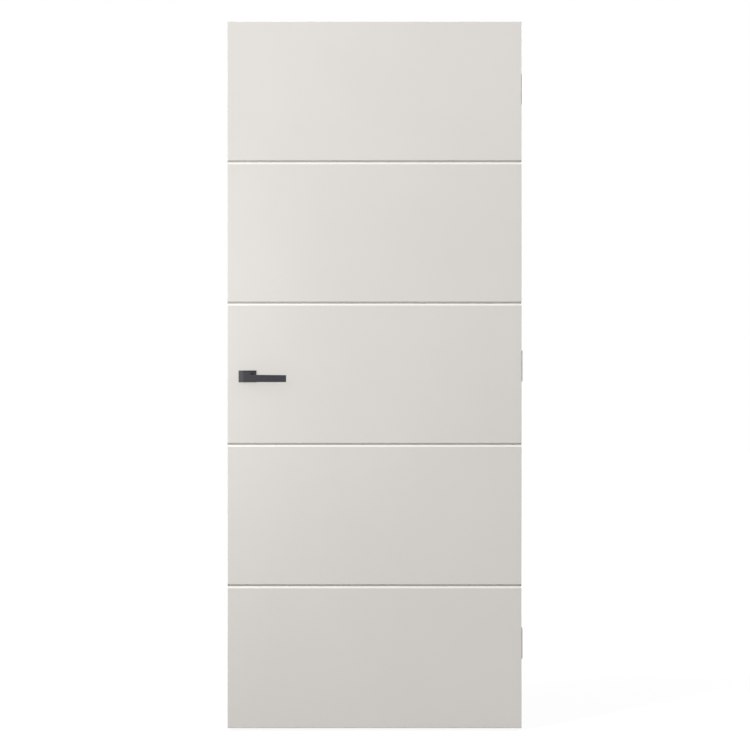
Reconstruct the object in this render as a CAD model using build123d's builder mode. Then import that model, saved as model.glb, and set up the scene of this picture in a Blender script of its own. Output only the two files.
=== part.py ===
"""Flush interior door leaf with V-grooved faces, a lever set, a mortised latch and three butt hinges.

Millimetres. X runs across the leaf towards the hinges, Y from the front face to the back, Z up.
The origin lies on the outer face of the bottom hinge's frame leaf, the face that is screwed to
the jamb, at the hinge's mid height and in the middle plane of the door leaf.
"""

import os

from build123d import *

# Leaf
LEAF_W = 880.0
LEAF_H = 2115.0
CORE_T = 28.0
SKIN_T = 6.0
ARRIS_R = 1.5
GROOVES = 4
GROOVE_FROM_TOP = 421.0
GROOVE_PITCH = 423.0
GROOVE_W = 12.0
GROOVE_D = 4.5
HINGE_STILE_W = 45.0
RAIL_H = 70.0

# Hanging: the gap from the leaf's edge to the jamb, and the hinges' mid heights
HANG_GAP = 3.0
HINGE_FROM_BOTTOM = 250.0
HINGE_FROM_TOP = 200.0

# Butt hinges
HINGE_H = 89.0
PLATE_T = 2.5
PLATE_GAP = 1.5
PLATE_INSET = 9.0
PLATE_CORNER_R = 6.0
RECESS_CLEAR = 0.3
KNUCKLES = 5
KNUCKLE_R = 6.5
KNUCKLE_GAP = 0.4
BARREL_CLEAR = 0.5
PIN_R = 3.5
PIN_CLEAR = 0.05
PIN_HEAD_H = 4.0
PIN_EDGE = 0.8
SCREW_R = 2.5
COUNTERSINK_R = 4.3
COUNTERSINK_ANGLE = 90.0
OUTER_SCREWS_APART = 66.0
INNER_SCREWS_APART = 26.0
OUTER_SCREWS_IN = 8.0
INNER_SCREWS_IN = 21.0

# Lock in the edge
BACKSET = 60.0
LEVER_HEIGHT = 1053.0
FACEPLATE_W = 20.0
FACEPLATE_H = 174.0
FACEPLATE_T = 3.0
FACEPLATE_DROP = 22.0
FACEPLATE_SCREWS_APART = 156.0
FACEPLATE_SCREW_R = 2.2
FACEPLATE_SINK_R = 4.0
CASE_T = 14.0
CASE_H = 138.0
CASE_PAST_AXIS = 25.0
CASE_CLEAR = 0.5
WOOD_PAST_CASE = 25.0
LATCH_T = 11.0
LATCH_H = 34.0
LATCH_DEPTH = 22.0
LATCH_RISE = 17.0
LATCH_CLEAR = 0.3
LATCH_EDGE_R = 1.0

# Roses
ROSE_W = 53.5
ROSE_H = 35.5
ROSE_T = 9.0
ROSE_END_T = 4.5
ROSE_BEVEL = 14.0
ROSE_EDGE_R = 0.5
RELEASE_X = 12.6
RELEASE_Z = 6.6
RELEASE_R = 2.7
RELEASE_FLOOR = 1.0

# Levers and the spindle between them
NECK_R = 9.5
NECK_CLEAR = 0.1
NECK_START = 1.0
NECK_STRAIGHT = 27.0
NECK_FLARE_R = 4.0
GRIP_STANDOFF = 44.0
GRIP_T = 11.0
GRIP_REACH = 117.0
GRIP_BELOW = 17.0
GRIP_ABOVE = 4.8
GRIP_TIP_ABOVE = 3.8
GRIP_EDGE_R = 0.8
GRIP_STEP_R = 1.5
HEAD_REACH = 10.0
HEAD_ABOVE = 10.0
HEAD_MARGIN = 0.2
SPINDLE_W = 8.0
SPINDLE_CLEAR = 0.05
SOCKET_D = 30.0
SOCKET_END_CLEAR = 0.5
GRUB_R = 2.1
GRUB_STANDOFF = 14.5
SPINDLE_HOLE_R = 11.0
CASE_BORE_R = 9.0

# Places that follow from the sizes
LEAF_T = CORE_T + 2 * SKIN_T
LEAF_X1 = -HANG_GAP
LEAF_X0 = LEAF_X1 - LEAF_W
LEAF_Z0 = -HINGE_FROM_BOTTOM
LEAF_Z1 = LEAF_Z0 + LEAF_H
LEAF_X = (LEAF_X0 + LEAF_X1) / 2
LEAF_Z = (LEAF_Z0 + LEAF_Z1) / 2
GROOVE_HEIGHTS = [LEAF_Z1 - GROOVE_FROM_TOP - GROOVE_PITCH * i for i in range(GROOVES)]

AXIS_X = LEAF_X0 + BACKSET
AXIS_Z = LEAF_Z0 + LEVER_HEIGHT
CASE_X0 = LEAF_X0 + FACEPLATE_T
CASE_X1 = AXIS_X + CASE_PAST_AXIS
LOCK_Z = AXIS_Z - FACEPLATE_DROP
LATCH_Z = AXIS_Z + LATCH_RISE
LOCK_STILE_X1 = CASE_X1 + WOOD_PAST_CASE
HINGE_STILE_X0 = LEAF_X1 - HINGE_STILE_W

PIN_X = -(PLATE_T + PLATE_GAP / 2)
PIN_Y = LEAF_T / 2 + BARREL_CLEAR + KNUCKLE_R
PLATE_Y0 = -LEAF_T / 2 + PLATE_INSET
PLATE_Y1 = PIN_Y - KNUCKLE_R - BARREL_CLEAR
DOOR_PLATE_X0 = -(2 * PLATE_T + PLATE_GAP)
KNUCKLE_H = (HINGE_H - (KNUCKLES - 1) * KNUCKLE_GAP) / KNUCKLES
HINGE_HEIGHTS = {
    "bottom": 0.0,
    "middle": (LEAF_Z1 - HINGE_FROM_TOP) / 2,
    "top": LEAF_Z1 - HINGE_FROM_TOP,
}

# The front face, seen from outside and centred on the lever's axis
FACE = Plane(origin=(AXIS_X, -LEAF_T / 2, AXIS_Z), x_dir=(1, 0, 0), z_dir=(0, -1, 0))


def front_skin():
    """The front face board: rounded arrises, and V-grooves that run out at both edges."""
    with BuildPart() as skin:
        with BuildSketch(Plane.XZ.offset(CORE_T / 2)):
            with Locations((LEAF_X, LEAF_Z)):
                Rectangle(LEAF_W, LEAF_H)
        extrude(amount=SKIN_T)
        fillet(skin.faces().sort_by(Axis.Y)[0].edges(), radius=ARRIS_R)
        with BuildSketch(Plane.YZ.offset(LEAF_X0)):
            with Locations(*[(-LEAF_T / 2, height) for height in GROOVE_HEIGHTS]):
                Polygon((0, -GROOVE_W / 2), (GROOVE_D, 0), (0, GROOVE_W / 2), align=None)
        extrude(amount=LEAF_W, mode=Mode.SUBTRACT)
        with BuildSketch(FACE):
            Circle(SPINDLE_HOLE_R)
        extrude(amount=-SKIN_T, mode=Mode.SUBTRACT)
    return skin.part


def back_skin(front):
    """The front board's mirror image, cut through at its edge where the hinges' plates come out."""
    with BuildPart() as skin:
        mirror(front, about=Plane.XZ)
        for height in HINGE_HEIGHTS.values():
            with BuildSketch(Plane.YZ.offset(LEAF_X1)):
                add(recess_outline(height))
            extrude(amount=-recess_depth(), mode=Mode.SUBTRACT)
    return skin.part


def recess_depth():
    """How far a hinge's recess goes into the leaf's edge: what the gap to the jamb doesn't take up."""
    return -DOOR_PLATE_X0 - HANG_GAP


def recess_outline(height):
    """The plate's outline with a little room round it, run out past the leaf's back face."""
    return plate_outline(height, RECESS_CLEAR, KNUCKLE_R)


def plate_outline(height, room, past):
    """A hinge plate seen from the edge, grown by room on three sides and by past at the barrel side."""
    front = PLATE_Y0 - room
    back = PLATE_Y1 + past
    tall = HINGE_H + 2 * room
    with BuildSketch(mode=Mode.PRIVATE) as outline:
        with Locations(((front + back) / 2, height)):
            Rectangle(back - front, tall)
        fillet(outline.vertices().group_by(Axis.X)[0], radius=PLATE_CORNER_R + room)
    return outline.sketch


def hinge_stile():
    """The edge timber on the hinge side, recessed for the three door plates."""
    with BuildPart() as stile:
        with BuildSketch(Plane.XY.offset(LEAF_Z0)):
            with Locations(((HINGE_STILE_X0 + LEAF_X1) / 2, 0)):
                Rectangle(HINGE_STILE_W, CORE_T)
        extrude(amount=LEAF_H)
        for height in HINGE_HEIGHTS.values():
            with BuildSketch(Plane.YZ.offset(LEAF_X1)):
                add(recess_outline(height))
            extrude(amount=-recess_depth(), mode=Mode.SUBTRACT)
    return stile.part


def lock_stile():
    """The edge timber on the lock side, cut for the faceplate, the case and the spindle."""
    with BuildPart() as stile:
        with BuildSketch(Plane.XY.offset(LEAF_Z0)):
            with Locations(((LEAF_X0 + LOCK_STILE_X1) / 2, 0)):
                Rectangle(LOCK_STILE_X1 - LEAF_X0, CORE_T)
        extrude(amount=LEAF_H)
        with BuildSketch(Plane.YZ.offset(LEAF_X0)):
            with Locations((0, LOCK_Z)):
                SlotOverall(FACEPLATE_H, FACEPLATE_W, rotation=90)
        extrude(amount=FACEPLATE_T, mode=Mode.SUBTRACT)
        with BuildSketch(Plane.YZ.offset(CASE_X0)):
            with Locations((0, LOCK_Z)):
                Rectangle(CASE_T + 2 * CASE_CLEAR, CASE_H + 2 * CASE_CLEAR)
        extrude(amount=CASE_X1 - CASE_X0 + CASE_CLEAR, mode=Mode.SUBTRACT)
        with BuildSketch(FACE.offset(-SKIN_T)):
            Circle(SPINDLE_HOLE_R)
        extrude(amount=-CORE_T, mode=Mode.SUBTRACT)
    return stile.part


def board_between_stiles(z0, z1):
    """A core board from stile to stile, between two heights."""
    with BuildPart() as board:
        with BuildSketch(Plane.XY.offset(z0)):
            with Locations(((LOCK_STILE_X1 + HINGE_STILE_X0) / 2, 0)):
                Rectangle(HINGE_STILE_X0 - LOCK_STILE_X1, CORE_T)
        extrude(amount=z1 - z0)
    return board.part


def lock_faceplate():
    """The round-ended plate in the lock edge, with the latch's window and two countersunk holes."""
    with BuildPart() as plate:
        with BuildSketch(Plane.YZ.offset(LEAF_X0)):
            with Locations((0, LOCK_Z)):
                SlotOverall(FACEPLATE_H, FACEPLATE_W, rotation=90)
            with Locations((0, LATCH_Z)):
                Rectangle(LATCH_T + 2 * LATCH_CLEAR, LATCH_H + 2 * LATCH_CLEAR, mode=Mode.SUBTRACT)
        extrude(amount=FACEPLATE_T)
        with Locations(Plane((LEAF_X0, 0, LOCK_Z), x_dir=(0, 0, 1), z_dir=(-1, 0, 0))):
            with GridLocations(FACEPLATE_SCREWS_APART, 0, 2, 1):
                CounterSinkHole(
                    FACEPLATE_SCREW_R,
                    FACEPLATE_SINK_R,
                    depth=FACEPLATE_T,
                    counter_sink_angle=COUNTERSINK_ANGLE,
                )
    return plate.part


def lock_case():
    """The lock's housing behind the faceplate, with a pocket for the latch and a bore for the spindle."""
    with BuildPart() as case:
        with BuildSketch(Plane.YZ.offset(CASE_X0)):
            with Locations((0, LOCK_Z)):
                Rectangle(CASE_T, CASE_H)
        extrude(amount=CASE_X1 - CASE_X0)
        with BuildSketch(Plane.YZ.offset(CASE_X0)):
            with Locations((0, LATCH_Z)):
                Rectangle(LATCH_T + 2 * LATCH_CLEAR, LATCH_H + 2 * LATCH_CLEAR)
        extrude(amount=LATCH_DEPTH, mode=Mode.SUBTRACT)
        with BuildSketch(FACE.offset(CASE_T / 2 - LEAF_T / 2)):
            Circle(CASE_BORE_R)
        extrude(amount=-CASE_T, mode=Mode.SUBTRACT)
    return case.part


def latch_bolt():
    """The latch block, drawn in flush with the faceplate as a magnetic latch rests."""
    with BuildPart() as bolt:
        with BuildSketch(Plane.YZ.offset(LEAF_X0)):
            with Locations((0, LATCH_Z)):
                Rectangle(LATCH_T, LATCH_H)
        extrude(amount=FACEPLATE_T + LATCH_DEPTH)
        fillet(bolt.faces().sort_by(Axis.X)[0].edges(), radius=LATCH_EDGE_R)
    return bolt.part


def front_rose():
    """The rose: a block that slopes down to both ends, bored for the neck, with a small deep release hole."""
    half = ROSE_W / 2
    with BuildPart() as rose:
        with BuildSketch(Plane.XY.offset(AXIS_Z - ROSE_H / 2)):
            with Locations((AXIS_X, -LEAF_T / 2)):
                Polygon(
                    (-half, 0),
                    (-half, -ROSE_END_T),
                    (-half + ROSE_BEVEL, -ROSE_T),
                    (half - ROSE_BEVEL, -ROSE_T),
                    (half, -ROSE_END_T),
                    (half, 0),
                    align=None,
                )
        extrude(amount=ROSE_H)
        outer = rose.edges().filter_by(lambda edge: edge.center().Y < -LEAF_T / 2)
        fillet(outer, radius=ROSE_EDGE_R)
        with BuildSketch(FACE):
            Circle(NECK_R + NECK_CLEAR)
        extrude(amount=ROSE_T, mode=Mode.SUBTRACT)
        with BuildSketch(FACE.offset(ROSE_T)):
            with Locations((RELEASE_X, RELEASE_Z)):
                Circle(RELEASE_R)
        extrude(amount=RELEASE_FLOOR - ROSE_T, mode=Mode.SUBTRACT)
    return rose.part


def front_lever():
    """The lever: a flat tapering grip, and a round neck that flares into the back of its head.

    The neck has a square socket for the spindle, and a hole underneath for the grub screw that holds it.
    """
    head_w = 2 * (HEAD_REACH - GRIP_EDGE_R - HEAD_MARGIN)
    head_h = HEAD_ABOVE + GRIP_BELOW - 2 * (GRIP_EDGE_R + HEAD_MARGIN)
    with BuildPart() as lever:
        with BuildSketch(FACE.offset(GRIP_STANDOFF)) as outline:
            Polygon(
                (-HEAD_REACH, -GRIP_BELOW),
                (GRIP_REACH, -GRIP_BELOW),
                (GRIP_REACH, GRIP_TIP_ABOVE),
                (HEAD_REACH, GRIP_ABOVE),
                (HEAD_REACH, HEAD_ABOVE),
                (-HEAD_REACH, HEAD_ABOVE),
                align=None,
            )
            step = outline.vertices().sort_by_distance((HEAD_REACH, GRIP_ABOVE, 0))[0]
            fillet(step, radius=GRIP_STEP_R)
        extrude(amount=GRIP_T)
        fillet(lever.edges(), radius=GRIP_EDGE_R)
        with BuildSketch(FACE.offset(NECK_START)):
            Circle(NECK_R)
        extrude(amount=NECK_STRAIGHT - NECK_START)
        with BuildSketch(FACE.offset(NECK_STRAIGHT)):
            Circle(NECK_R)
        with BuildSketch(FACE.offset(GRIP_STANDOFF)):
            with Locations((0, (HEAD_ABOVE - GRIP_BELOW) / 2)):
                RectangleRounded(head_w, head_h, radius=NECK_FLARE_R)
        loft()
        with BuildSketch(FACE.offset(NECK_START)):
            Rectangle(SPINDLE_W + 2 * SPINDLE_CLEAR, SPINDLE_W + 2 * SPINDLE_CLEAR)
        extrude(amount=SOCKET_D, mode=Mode.SUBTRACT)
        with BuildSketch(Plane.XY.offset(AXIS_Z)):
            with Locations((AXIS_X, -LEAF_T / 2 - GRUB_STANDOFF)):
                Circle(GRUB_R)
        extrude(amount=-NECK_R, mode=Mode.SUBTRACT)
    return lever.part


def spindle():
    """The square bar through the lock, from the bottom of one lever's socket to the other's."""
    reach = LEAF_T / 2 + NECK_START + SOCKET_D - SOCKET_END_CLEAR
    with BuildPart() as bar:
        with BuildSketch(FACE.offset(reach - LEAF_T / 2)):
            Rectangle(SPINDLE_W, SPINDLE_W)
        extrude(amount=-2 * reach)
    return bar.part


def mirrored(front):
    """The same piece on the back of the leaf."""
    with BuildPart() as back:
        mirror(front, about=Plane.XZ)
    return back.part


def hinge_leaf(height, plate_x0, first_knuckle, screw_face):
    """One plate of a hinge with every second knuckle, countersunk on the face that the screws go in from.

    plate_x0 is the plate's side away from the jamb, and screw_face the direction that the sunk face looks in.
    """
    bottom = height - HINGE_H / 2
    sunk_x = plate_x0 if screw_face < 0 else plate_x0 + PLATE_T
    holes = [
        (PLATE_Y0 + inset, height + side * apart / 2)
        for inset, apart in ((OUTER_SCREWS_IN, OUTER_SCREWS_APART), (INNER_SCREWS_IN, INNER_SCREWS_APART))
        for side in (-1, 1)
    ]
    with BuildPart() as leaf:
        with BuildSketch(Plane.YZ.offset(plate_x0)):
            add(plate_outline(height, 0, 0))
        extrude(amount=PLATE_T)
        for i in range(first_knuckle, KNUCKLES, 2):
            with BuildSketch(Plane.XY.offset(bottom + i * (KNUCKLE_H + KNUCKLE_GAP))):
                with Locations((PIN_X, PIN_Y)):
                    Circle(KNUCKLE_R)
                with Locations((plate_x0 + PLATE_T / 2, (PLATE_Y1 + PIN_Y) / 2)):
                    Rectangle(PLATE_T, PIN_Y - PLATE_Y1)
                with Locations((PIN_X, PIN_Y)):
                    Circle(PIN_R + PIN_CLEAR, mode=Mode.SUBTRACT)
            extrude(amount=KNUCKLE_H)
        with Locations(*[Plane((sunk_x, y, z), x_dir=(0, 0, 1), z_dir=(screw_face, 0, 0)) for y, z in holes]):
            CounterSinkHole(SCREW_R, COUNTERSINK_R, depth=PLATE_T, counter_sink_angle=COUNTERSINK_ANGLE)
    return leaf.part


def hinge_pin(height):
    """A hinge's loose pin: a flat head on the top knuckle and a chamfered end level with the bottom one."""
    with BuildPart() as pin:
        with BuildSketch(Plane.XY.offset(height - HINGE_H / 2)):
            with Locations((PIN_X, PIN_Y)):
                Circle(PIN_R)
        extrude(amount=HINGE_H)
        with BuildSketch(Plane.XY.offset(height + HINGE_H / 2)):
            with Locations((PIN_X, PIN_Y)):
                Circle(KNUCKLE_R)
        extrude(amount=PIN_HEAD_H)
        ends = pin.faces().sort_by(Axis.Z)
        chamfer(ends[0].edges() + ends[-1].edges(), length=PIN_EDGE)
    return pin.part


def assembly():
    """Every piece of the door by its name."""
    pieces = {"front_skin": front_skin()}
    pieces["back_skin"] = back_skin(pieces["front_skin"])
    pieces["lock_stile"] = lock_stile()
    pieces["hinge_stile"] = hinge_stile()
    pieces["bottom_rail"] = board_between_stiles(LEAF_Z0, LEAF_Z0 + RAIL_H)
    pieces["core_panel"] = board_between_stiles(LEAF_Z0 + RAIL_H, LEAF_Z1 - RAIL_H)
    pieces["top_rail"] = board_between_stiles(LEAF_Z1 - RAIL_H, LEAF_Z1)
    pieces["lock_faceplate"] = lock_faceplate()
    pieces["lock_case"] = lock_case()
    pieces["latch_bolt"] = latch_bolt()
    pieces["front_rose"] = front_rose()
    pieces["back_rose"] = mirrored(pieces["front_rose"])
    pieces["front_lever"] = front_lever()
    pieces["back_lever"] = mirrored(pieces["front_lever"])
    pieces["spindle"] = spindle()
    for place, height in HINGE_HEIGHTS.items():
        pieces[f"{place}_hinge_frame_leaf"] = hinge_leaf(height, -PLATE_T, 0, -1)
        pieces[f"{place}_hinge_door_leaf"] = hinge_leaf(height, DOOR_PLATE_X0, 1, 1)
        pieces[f"{place}_hinge_pin"] = hinge_pin(height)
    return pieces


os.makedirs("parts", exist_ok=True)
for name, piece in assembly().items():
    piece.label = name
    export_step(piece, f"parts/{name}.step")
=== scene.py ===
"""Dresses the interior door: its finishes, its small fittings, a plain studio and the camera.

Metres, in the part's own frame: X runs across the leaf towards the hinges, Y from the front face to
the back, Z up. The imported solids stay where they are, and every new piece takes its place from them.
"""

import logging
import math
from dataclasses import dataclass
from enum import Enum
from typing import Any

import bmesh
import bpy
import numpy as np
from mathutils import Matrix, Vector


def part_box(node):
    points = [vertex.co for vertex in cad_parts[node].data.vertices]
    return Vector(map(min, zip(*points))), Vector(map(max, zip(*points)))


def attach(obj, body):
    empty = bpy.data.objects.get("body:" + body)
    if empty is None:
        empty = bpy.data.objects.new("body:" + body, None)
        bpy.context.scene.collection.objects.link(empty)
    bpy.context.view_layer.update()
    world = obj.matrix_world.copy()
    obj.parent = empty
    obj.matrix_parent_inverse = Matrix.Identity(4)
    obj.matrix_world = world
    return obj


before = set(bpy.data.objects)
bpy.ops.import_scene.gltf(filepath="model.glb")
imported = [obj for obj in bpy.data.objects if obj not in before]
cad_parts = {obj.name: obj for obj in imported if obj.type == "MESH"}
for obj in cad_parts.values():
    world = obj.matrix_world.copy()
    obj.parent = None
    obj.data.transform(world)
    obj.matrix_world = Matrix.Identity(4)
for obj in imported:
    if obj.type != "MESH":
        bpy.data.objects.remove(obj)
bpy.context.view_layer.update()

LOG = logging.getLogger("door")
MM = 0.001
QUARTER_TURN = math.pi / 2.0
SMOOTH_ANGLE = math.radians(32.0)
MERGE_DISTANCE = 0.001 * MM

FRONT_LEVER = ("front_lever", "front_bearing_ring", "front_grub_screw", "spindle")
FRONT_SET = (*FRONT_LEVER, "front_rose")
BACK_SET = ("back_lever", "back_bearing_ring", "back_grub_screw", "spindle", "back_rose")

Colour = tuple[float, float, float]
Point = tuple[float, float, float]
Span = tuple[float, float]
Socket = bpy.types.NodeSocket
Sockets = bpy.types.bpy_prop_collection
Material = bpy.types.Material
Pieces = list[bpy.types.Object]
# What an input is given: another node's output, or a plain number, colour or vector.
Term = Socket | float | tuple[float, ...]

WHITE: Colour = (1.0, 1.0, 1.0)


class Body(Enum):
    """The moving bodies that pieces ride on."""

    FRAME_SIDE = "hinge_frame_side"
    LEAF = "door_leaf"
    LEVERS = "lever_set"


class Slot(Enum):
    """Names of the record's material slots; no new piece here is given one."""

    HINGE = "hinge_steel"
    LOCK = "lock_steel"
    POLYMER = "latch"
    BAR = "spindle_steel"


class Grain(Enum):
    """Which way the brush lines of a steel surface run, as (x, y, z) pattern scales per metre."""

    UPRIGHT = (2600.0, 2600.0, 45.0)
    ACROSS = (2600.0, 45.0, 2600.0)
    TURNED = (60.0, 60.0, 3200.0)


class Nodes:
    """A shader node tree that is filled in few words."""

    def __init__(self, tree: bpy.types.NodeTree) -> None:
        """Keeps the tree that the nodes go into."""
        self.tree = tree

    def feed(self, socket: Socket, term: Term) -> None:
        """Links an output to the socket, or sets the socket to a plain value.

        Args:
            socket: The input to fill.
            term: An output socket, or a number, colour or vector.
        """
        if isinstance(term, Socket):
            self.tree.links.new(term, socket)
        else:
            socket.default_value = term

    def add(self, kind: str, *terms: Term, **settings: Any) -> bpy.types.Node:
        """Adds one node.

        Args:
            kind: Blender's name of the node's type.
            terms: What its first inputs get, in order.
            settings: Properties to set on the node.

        Returns:
            The new node.
        """
        node = self.tree.nodes.new(kind)
        for name, value in settings.items():
            setattr(node, name, value)
        for socket, term in zip(node.inputs, terms):
            self.feed(socket, term)
        return node

    def math(self, operation: str, *terms: Term) -> Socket:
        """Returns the output of a Math node with that operation and those inputs."""
        return self.add("ShaderNodeMath", *terms, operation=operation).outputs[0]

    def vector(self, operation: str, *terms: Term) -> Sockets:
        """Returns the outputs of a Vector Math node: Vector, or Value where the result is a number."""
        return self.add("ShaderNodeVectorMath", *terms, operation=operation).outputs

    def axes(self, vector: Socket) -> Sockets:
        """Returns a vector's X, Y and Z."""
        return self.add("ShaderNodeSeparateXYZ", vector).outputs

    def spread(self, value: Term, low: Term, high: Term, to_low: Term, to_high: Term) -> Socket:
        """Adds a smooth Map Range node.

        Args:
            value: The value to map.
            low: Where the range starts.
            high: Where the range ends.
            to_low: The result at the start.
            to_high: The result at the end.

        Returns:
            The mapped value.
        """
        ends = (low, high, to_low, to_high)
        node = self.add("ShaderNodeMapRange", value, *ends, interpolation_type="SMOOTHSTEP")
        return node.outputs["Result"]

    def noise(self, vector: Socket, scale: Term, detail: float) -> Socket:
        """Adds a Noise Texture node.

        Args:
            vector: The coordinates.
            scale: Lumps per metre.
            detail: Octaves of finer lumps.

        Returns:
            The noise, from 0 to 1.
        """
        node = self.add("ShaderNodeTexNoise")
        self.feed(node.inputs["Vector"], vector)
        self.feed(node.inputs["Scale"], scale)
        node.inputs["Detail"].default_value = detail
        return node.outputs["Fac"]

    def tint(self, amount: Term, first: Term, second: Term) -> Socket:
        """Adds a colour mix.

        Args:
            amount: The share of the second colour.
            first: The first colour.
            second: The second colour.

        Returns:
            The mixed colour.
        """
        node = self.add("ShaderNodeMix", amount, data_type="RGBA")
        colours = [socket for socket in node.inputs if socket.type == "RGBA"]
        self.feed(colours[0], first)
        self.feed(colours[1], second)
        return next(socket for socket in node.outputs if socket.type == "RGBA")

    def bump(self, height: Term, depth: float) -> Socket:
        """Adds a Bump node.

        Args:
            height: The height, from 0 to 1.
            depth: The depth in metres that a height of 1 stands for.

        Returns:
            The bent normal.
        """
        node = self.add("ShaderNodeBump")
        node.inputs["Strength"].default_value = 1.0
        node.inputs["Distance"].default_value = depth
        self.feed(node.inputs["Height"], height)
        return node.outputs["Normal"]

    def seen_directly(self) -> Socket:
        """Returns a mask of camera, mirror and glass rays."""
        path = self.add("ShaderNodeLightPath").outputs
        sums = self.math("ADD", path["Is Camera Ray"], path["Is Glossy Ray"])
        return self.math("MAXIMUM", sums, path["Is Transmission Ray"])


class Effect:
    """A shader node group that several finishes place, each with its own values."""

    title = ""
    inputs: dict[str, str] = {}
    outputs: dict[str, str] = {}

    def wire(self, nodes: Nodes, given: Sockets) -> dict[str, Socket]:
        """Fills the group's tree.

        Args:
            nodes: The group's nodes.
            given: What the group is given.

        Returns:
            What the group puts out, by name.
        """
        raise NotImplementedError

    def tree(self) -> bpy.types.NodeTree:
        """Returns the group's tree, made at its first use."""
        made = bpy.data.node_groups.get(self.title)
        if made is None:
            made = bpy.data.node_groups.new(self.title, "ShaderNodeTree")
            for direction, sockets in (("INPUT", self.inputs), ("OUTPUT", self.outputs)):
                for name, kind in sockets.items():
                    made.interface.new_socket(name, in_out=direction, socket_type=f"NodeSocket{kind}")
            nodes = Nodes(made)
            given = nodes.add("NodeGroupInput").outputs
            result = nodes.add("NodeGroupOutput").inputs
            for name, term in self.wire(nodes, given).items():
                nodes.feed(result[name], term)
        return made

    def place(self, nodes: Nodes, **values: Term) -> Sockets:
        """Puts the group into a material.

        Args:
            nodes: The material's tree.
            values: What each input gets; an underscore in a name stands for a space.

        Returns:
            The placed group's outputs.
        """
        node = nodes.add("ShaderNodeGroup", node_tree=self.tree())
        for name, value in values.items():
            nodes.feed(node.inputs[name.replace("_", " ")], value)
        return node.outputs


class OrangePeel(Effect):
    """The faint waviness of a sprayed coat: fine lumps with broader waves under them."""

    title = "orange peel"
    inputs = {"Vector": "Vector", "Scale": "Float"}
    outputs = {"Height": "Float"}
    fine_share = 0.7
    wave_stretch = 0.21

    def wire(self, nodes: Nodes, given: Sockets) -> dict[str, Socket]:
        """Height is a weighted sum of a fine noise and the same noise at about a fifth of the scale."""
        wide_scale = nodes.math("MULTIPLY", given["Scale"], self.wave_stretch)
        fine = nodes.noise(given["Vector"], given["Scale"], detail=1.0)
        wide = nodes.noise(given["Vector"], wide_scale, detail=1.0)
        waves = nodes.math("MULTIPLY", wide, 1.0 - self.fine_share)
        return {"Height": nodes.math("MULTIPLY_ADD", fine, self.fine_share, waves)}


class ToneDrift(Effect):
    """A colour that drifts a little lighter and darker over the surface."""

    title = "tone drift"
    inputs = {"Vector": "Vector", "Color": "Color", "Scale": "Float", "Amount": "Float"}
    outputs = {"Color": "Color"}
    window: Span = (0.25, 0.75)

    def wire(self, nodes: Nodes, given: Sockets) -> dict[str, Socket]:
        """The colour's value is multiplied by one plus or minus the amount, as the noise says."""
        lumps = nodes.noise(given["Vector"], given["Scale"], detail=3.0)
        low = nodes.math("SUBTRACT", 1.0, given["Amount"])
        high = nodes.math("ADD", 1.0, given["Amount"])
        node = nodes.add("ShaderNodeHueSaturation")
        nodes.feed(node.inputs["Color"], given["Color"])
        nodes.feed(node.inputs["Value"], nodes.spread(lumps, *self.window, low, high))
        return {"Color": node.outputs["Color"]}


class GlossDrift(Effect):
    """A roughness that wanders between two values."""

    title = "gloss drift"
    inputs = {"Vector": "Vector", "Scale": "Float", "Low": "Float", "High": "Float"}
    outputs = {"Roughness": "Float"}
    window: Span = (0.25, 0.75)

    def wire(self, nodes: Nodes, given: Sockets) -> dict[str, Socket]:
        """The noise's middle half is spread from the low value to the high one."""
        lumps = nodes.noise(given["Vector"], given["Scale"], detail=4.0)
        return {"Roughness": nodes.spread(lumps, *self.window, given["Low"], given["High"])}


class BrushLines(Effect):
    """Fine parallel scratches of brushed or turned metal, on coordinates stretched along them."""

    title = "brush lines"
    inputs = {"Vector": "Vector"}
    outputs = {"Height": "Float", "Scratch": "Float"}
    line_scale = 1.0
    scratch_scale = 0.37
    scratch_window: Span = (0.5, 0.72)

    def wire(self, nodes: Nodes, given: Sockets) -> dict[str, Socket]:
        """Height is a detailed noise, and a scratch is where a second, coarser one is high."""
        lines = nodes.noise(given["Vector"], self.line_scale, detail=3.0)
        coarse = nodes.noise(given["Vector"], self.scratch_scale, detail=2.0)
        return {"Height": lines, "Scratch": nodes.spread(coarse, *self.scratch_window, 0.0, 1.0)}


class JointLine(Effect):
    """A hairline where two members meet under the coat."""

    title = "joint line"
    inputs = {"Coordinate": "Float", "Place": "Float", "Half Width": "Float"}
    outputs = {"Mask": "Float"}

    def wire(self, nodes: Nodes, given: Sockets) -> dict[str, Socket]:
        """The mask falls smoothly from one at the place to nothing at half a width from it."""
        away = nodes.math("ABSOLUTE", nodes.math("SUBTRACT", given["Coordinate"], given["Place"]))
        return {"Mask": nodes.spread(away, 0.0, given["Half Width"], 1.0, 0.0)}


class Patchy(Effect):
    """An effect whose mask a noise thins out in patches."""

    outputs = {"Mask": "Float"}
    window: Span = (0.0, 1.0)
    least = 0.0

    def broken_up(self, nodes: Nodes, given: Sockets, mask: Socket) -> Socket:
        """Returns the mask times a noise that is one at most and the least share at least."""
        lumps = nodes.noise(given["Vector"], given["Break Up"], detail=4.0)
        return nodes.math("MULTIPLY", mask, nodes.spread(lumps, *self.window, self.least, 1.0))


class HandRub(Patchy):
    """Where hands or other pieces have rubbed a surface, round a point, broken up by noise."""

    title = "hand rub"
    inputs = {"Vector": "Vector", "Centre": "Vector", "Reach": "Float", "Break Up": "Float"}
    window = (0.35, 0.65)
    least = 0.35

    def wire(self, nodes: Nodes, given: Sockets) -> dict[str, Socket]:
        """The mask falls from one at the centre to nothing at the reach, times a patchy noise."""
        away = nodes.vector("DISTANCE", given["Vector"], given["Centre"])["Value"]
        near = nodes.spread(away, 0.0, given["Reach"], 1.0, 0.0)
        return {"Mask": self.broken_up(nodes, given, near)}


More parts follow.
